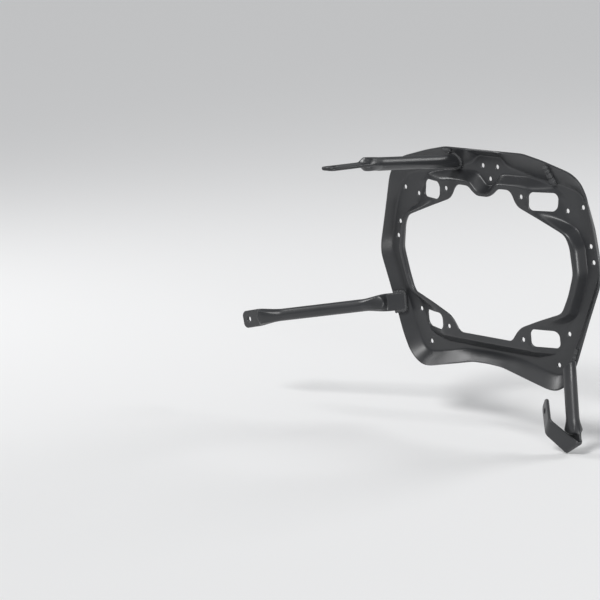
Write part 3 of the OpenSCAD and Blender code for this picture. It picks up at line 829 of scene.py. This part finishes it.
def laid_on(tree, points, lift):
    """Moves points to a fixed height over the nearest surface."""
    out = []
    for p in points:
        near, normal, _, _ = tree.find_nearest(Vector(p))
        out.append(np.array(near) + np.array(normal) * lift)
    return out


def spaced(points, pitch=1.0):
    """Points at even steps along a broken line."""
    out = [np.asarray(points[0], float)]
    for a, b in zip(points[:-1], points[1:]):
        a, b = np.asarray(a, float), np.asarray(b, float)
        steps = max(1, int(round(np.linalg.norm(b - a) / pitch)))
        out += [mix(a, b, k / steps) for k in range(1, steps + 1)]
    return out


def make_bead(name, points, sizes, tree, material, seed, closed=False, uneven=0.1, width=None):
    """A welded bead along a path, made one skin by a fine remesh."""
    obj = path_object(name, points, closed)
    use_tree(obj, tree, {"Width": width or sizes.bead, "Pitch": sizes.pitch, "Unevenness": uneven,
                         "Seed": seed, "Coat": material})
    skin = obj.modifiers.new("skin", "REMESH")
    skin.mode, skin.voxel_size = "VOXEL", 0.00042
    baked(obj, 80)
    obj.data.materials.clear()
    obj.data.materials.append(material)
    return facing_out(obj)


def make_spatter(name, paths, surface, sizes, tree, material, seed, half=7.0, steps=7):
    """Drops scattered over the strips of surface that follow the given welds."""
    points, faces = [], []
    for path in paths:
        first = len(points)
        for i, p in enumerate(path):
            along = unit(path[min(i + 1, len(path) - 1)] - path[max(i - 1, 0)])
            side = np.cross(along, np.array(surface.find_nearest(Vector(p))[1]))
            points += laid_on(surface, [p + side * s for s in np.linspace(-half, half, steps)], 0.05)
        for i in range(len(path) - 1):
            a, b = first + i * steps, first + (i + 1) * steps
            faces += [(a + j, a + j + 1, b + j + 1, b + j) for j in range(steps - 1)]
    obj = new_object(name, points, faces, material)
    use_tree(obj, tree, {"Radius": sizes.drop, "Seed": seed, "Coat": material})
    return baked(obj, 80)


# ---------------------------------------------------------------- finish

class Wire:
    """A value in a material's tree, so that shader maths reads as ordinary arithmetic."""

    def __init__(self, tree, socket):
        self.tree, self.socket = tree, socket

    def make(self, kind, values=(), output=0, **settings):
        """Adds any node: settings are set first, then its inputs from numbers or wires."""
        node = self.tree.nodes.new(kind)
        for key, value in settings.items():
            setattr(node, key, value)
        for key, value in dict(values).items():
            if isinstance(value, Wire):
                self.tree.links.new(value.socket, node.inputs[key])
            else:
                node.inputs[key].default_value = value
        return Wire(self.tree, node.outputs[output])

    def maths(self, operation, a, b=0.0):
        return self.make("ShaderNodeMath", {0: a, 1: b}, operation=operation)

    def __add__(self, other):
        return self.maths("ADD", self, other)

    def __radd__(self, other):
        return self.maths("ADD", other, self)

    def __sub__(self, other):
        return self.maths("SUBTRACT", self, other)

    def __rsub__(self, other):
        return self.maths("SUBTRACT", other, self)

    def __mul__(self, other):
        return self.maths("MULTIPLY", self, other)

    def __rmul__(self, other):
        return self.maths("MULTIPLY", other, self)


def coat_material(name, colour, roughness, grain, depth, wave):
    """Satin powder coat: a fine orange peel, slow changes of sheen and a slightly uneven shade."""
    material = bpy.data.materials.new(name)
    material.use_nodes = True
    material.diffuse_color = (*colour, 1)
    tree = material.node_tree
    tree.nodes.clear()
    start = Wire(tree, None)
    spot = start.make("ShaderNodeTexCoord", output="Object")

    def noise(scale, detail):
        return start.make("ShaderNodeTexNoise", {"Vector": spot, "Scale": scale, "Detail": detail},
                          noise_dimensions="3D")

    slow, fine, broad = noise(22.0, 3.0), noise(grain, 2.0), noise(wave, 1.0)
    shade = start.make("ShaderNodeMix", {"Factor": slow, 6: (*[c * 0.86 for c in colour], 1),
                                         7: (*[c * 1.14 for c in colour], 1)}, 2, data_type="RGBA")
    sheen = roughness - 0.05 + slow * 0.1 + (fine - 0.5) * 0.06
    height = fine * 0.6 + broad * 0.4
    peel = start.make("ShaderNodeBump", {"Strength": 1.0, "Distance": depth, "Height": height})
    surface = start.make("ShaderNodeBsdfPrincipled", {"Base Color": shade, "Roughness": sheen, "Normal": peel,
                                                      "Specular IOR Level": 0.5})
    tree.links.new(surface.socket, tree.nodes.new("ShaderNodeOutputMaterial").inputs["Surface"])
    return material


def plain_material(name, colour, roughness):
    material = bpy.data.materials.new(name)
    material.use_nodes = True
    surface = material.node_tree.nodes["Principled BSDF"]
    surface.inputs["Base Color"].default_value = (*colour, 1)
    surface.inputs["Roughness"].default_value = roughness
    return material


# What one step makes and a later step uses.
MADE = {}


def scene_sizes(context):
    return context.scene.pannier_ring, context.scene.pannier_stays, context.scene.pannier_welds


def coat(context, welds=False):
    """The coat's material, made once. It is duller and coarser on welds."""
    look = context.scene.pannier_coat
    name = "coated_weld_finish" if welds else "powder_coat_finish"
    if name not in MADE:
        if welds:
            colour, roughness, texture = look.weld_colour, look.weld_roughness, (900.0, 0.00012, 400.0)
        else:
            colour, roughness, texture = look.colour, look.roughness, (700.0, 0.00004, 250.0)
        MADE[name] = coat_material(name, tuple(colour), roughness, *texture)
    return MADE[name]


def place_piece(obj, node):
    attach(obj, "root")
    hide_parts(node)


class PANNIER_OT_ring(bpy.types.Operator):
    """Make the pressed ring with its folds, ramps, holes and windows"""

    bl_idname = "pannier.ring"
    bl_label = "Pressed Ring"

    def execute(self, context):
        ring, _, _ = scene_sizes(context)
        obj, MADE["surface"] = make_ring(ring, coat(context))
        place_piece(obj, "side_plate")
        return {"FINISHED"}


class PANNIER_OT_stays(bpy.types.Operator):
    """Make the three stays of tube with their flattened and bent ends"""

    bl_idname = "pannier.stays"
    bl_label = "Tube Stays"

    def execute(self, context):
        ring, stays, _ = scene_sizes(context)
        upper, MADE["upper rim"] = make_upper_stay(stays, MADE["surface"], coat(context))
        place_piece(upper, "upper_stay")
        place_piece(make_lower_stay(stays, ring, coat(context)), "lower_stay")
        place_piece(make_hook_stay(stays, ring, coat(context)), "hook_stay")
        return {"FINISHED"}


class PANNIER_OT_welds(bpy.types.Operator):
    """Make the weld beads and the drops of spatter beside them"""

    bl_idname = "pannier.welds"
    bl_label = "Welds"

    def execute(self, context):
        ring, stays, welds = scene_sizes(context)
        material, tree, surface = coat(context, True), ripple_tree(), MADE["surface"]

        def bead(name, node, points, seed, **look):
            place_piece(make_bead(name, points, welds, tree, material, seed, **look), node)

        maker = StayMaker(stays)
        foot, _, along, _, _ = upper_route()
        rim = MADE["upper rim"]
        axis = [foot + along * ((p - foot) @ along) for p in rim]
        loop = [p + along * 1.6 + unit(p - q) * 0.9 for p, q in zip(rim, axis)]
        bead("upper_joint_bead", "upper_weld", loop, 3, closed=True, width=0.005)
        low = np.array((-UPPER_X + 1, -ring.depth / MM - 4, at_side(CURVES["edge"], UPPER_X) - 6.5))
        tack = laid_on(surface, spaced([low, low + unit((-12, 0, 1)) * 12]), 1.4)
        bead("upper_tack_bead", "upper_tack", tack, 5, uneven=0.16)
        _, _, end, tab_dir, across, out = lower_route(maker, ring)
        up, run, start = across * (maker.width / 2 + 0.8), tab_dir * 14, end - out * 0.3
        nose, turn = -tab_dir * 0.8, tab_dir * 1.5
        route = [start + run + up, start + turn + up, start + nose + up * 0.88,
                 start + nose - up * 0.88, start + turn - up, start + run - up]
        bead("lower_joint_bead", "lower_weld", spaced(route), 7, uneven=0.12)
        top, _ = hook_route(maker, ring)
        low = top + np.array((-2, maker.tube / 2 + 1, -4))
        rise = laid_on(surface, spaced([low, low + unit((5, 1, 15)) * 16]), 1.3)
        bead("hook_joint_bead", "hook_weld", rise, 9, uneven=0.16)
        high = np.array((123.0, -ring.sheet / MM - 1, at_side(CURVES["fold"], 120) - 2))
        foot = np.array((118.0, -ring.depth / MM - 1, at_side(CURVES["edge"], 120) - 4.5))
        rough = laid_on(surface, spaced([high, foot]), 1.2)
        bead("corner_bead", "corner_weld", rough, 11, uneven=0.28, width=0.0085)
        drops = make_spatter("weld_spatter", [tack, rise, rough], surface, welds, drop_tree(), material, 13)
        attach(drops, "root")
        return {"FINISHED"}


FLOOR_HALF, FLOOR_GAP = 30000.0, 1.0
# Each lamp's kind, its place in metres and its settings. All of them face the origin.
LAMPS = (("key_light", "SUN", (0.3, -2.1, 2.3), {"energy": 1.7, "angle": math.radians(20)}),
         ("right_light", "AREA", (2.7, -1.25, 0.1), {"shape": "DISK", "size": 0.6, "energy": 40.0}),
         ("back_light", "AREA", (-2.2, -0.7, 1.5), {"shape": "DISK", "size": 0.8, "energy": 20.0}),
         ("outer_light", "AREA", (0.9, 2.8, 1.8), {"shape": "DISK", "size": 1.6, "energy": 34.0}))
# The photo's camera: its directions to the right, up and ahead, its place in metres and its lens.
CAMERA_AXES = ((0.6441, 0.7641, -0.0348), (-0.1173, 0.1437, 0.9827), (-0.7559, 0.6289, -0.1822))
CAMERA_SPOT, CAMERA_LENS, CAMERA_SENSOR = (2.22605, -2.19984, 0.5333), 138.0, 36.0


class PANNIER_OT_stage(bpy.types.Operator):
    """Set the floor, soft lights, background and camera"""

    bl_idname = "pannier.stage"
    bl_label = "Stage"

    def execute(self, context):
        scene = context.scene
        floor_z = CAD_BOX[0][2] / MM - FLOOR_GAP
        corners = [(x * FLOOR_HALF, y * FLOOR_HALF, floor_z) for x, y in ((-1, -1), (1, -1), (1, 1), (-1, 1))]
        pale = plain_material("pale_floor", (0.86, 0.86, 0.86), 0.8)
        floor = new_object("floor", corners, [(0, 1, 2, 3)], pale)
        for name, kind, spot, values in LAMPS:
            data = bpy.data.lights.new(name, kind)
            for key, value in values.items():
                setattr(data, key, value)
            lamp = bpy.data.objects.new(name, data)
            scene.collection.objects.link(lamp)
            turn = (-Vector(spot)).to_track_quat("-Z", "Y").to_matrix().to_4x4()
            lamp.matrix_world = Matrix.Translation(spot) @ turn
        world = bpy.data.worlds.new("soft_room")
        world.use_nodes = True
        tree = world.node_tree
        tree.nodes.clear()
        start = Wire(tree, None)
        seen = start.make("ShaderNodeLightPath", output="Is Camera Ray")
        room = start.make("ShaderNodeBackground", {"Color": (0.9, 0.92, 0.95, 1), "Strength": 0.27})
        view = start.make("ShaderNodeBackground", {"Color": (0.9, 0.9, 0.9, 1), "Strength": 1.0})
        both = start.make("ShaderNodeMixShader", {0: seen, 1: room, 2: view})
        tree.links.new(both.socket, tree.nodes.new("ShaderNodeOutputWorld").inputs["Surface"])
        scene.world = world
        data = bpy.data.cameras.new("photo_camera")
        data.lens, data.sensor_width, data.clip_end = CAMERA_LENS, CAMERA_SENSOR, 100.0
        camera = bpy.data.objects.new("photo_camera", data)
        scene.collection.objects.link(camera)
        right, up, ahead = (Vector(v) for v in CAMERA_AXES)
        turn = Matrix((right, up, -ahead)).transposed().to_4x4()
        camera.matrix_world = Matrix.Translation(CAMERA_SPOT) @ turn
        scene.camera = camera
        scene.view_settings.view_transform = "Standard"
        return {"FINISHED"}


class PANNIER_PT_panel(bpy.types.Panel):
    """Lists the steps that build the frame"""

    bl_idname = "PANNIER_PT_panel"
    bl_label = "Pannier Frame"
    bl_space_type = "VIEW_3D"
    bl_region_type = "UI"
    bl_category = "Pannier Frame"

    def draw(self, context):
        for name in GROUPS:
            box, group = self.layout.box(), getattr(context.scene, name)
            for key in group.__annotations__:
                box.prop(group, key)
        for step in STEPS:
            self.layout.operator(step.bl_idname)


GROUPS = {"pannier_ring": RingSizes, "pannier_stays": StaySizes, "pannier_welds": WeldSizes,
          "pannier_coat": CoatLook}
STEPS = (PANNIER_OT_ring, PANNIER_OT_stays, PANNIER_OT_welds, PANNIER_OT_stage)


def register():
    for cls in (*GROUPS.values(), *STEPS, PANNIER_PT_panel):
        bpy.utils.register_class(cls)
    for name, cls in GROUPS.items():
        setattr(bpy.types.Scene, name, bpy.props.PointerProperty(type=cls))


def unregister():
    for name in GROUPS:
        delattr(bpy.types.Scene, name)
    for cls in reversed((*GROUPS.values(), *STEPS, PANNIER_PT_panel)):
        bpy.utils.unregister_class(cls)


def main():
    register()
    bpy.ops.pannier.ring()
    bpy.ops.pannier.stays()
    bpy.ops.pannier.welds()
    bpy.ops.pannier.stage()


if __name__ == "__main__":
    main()
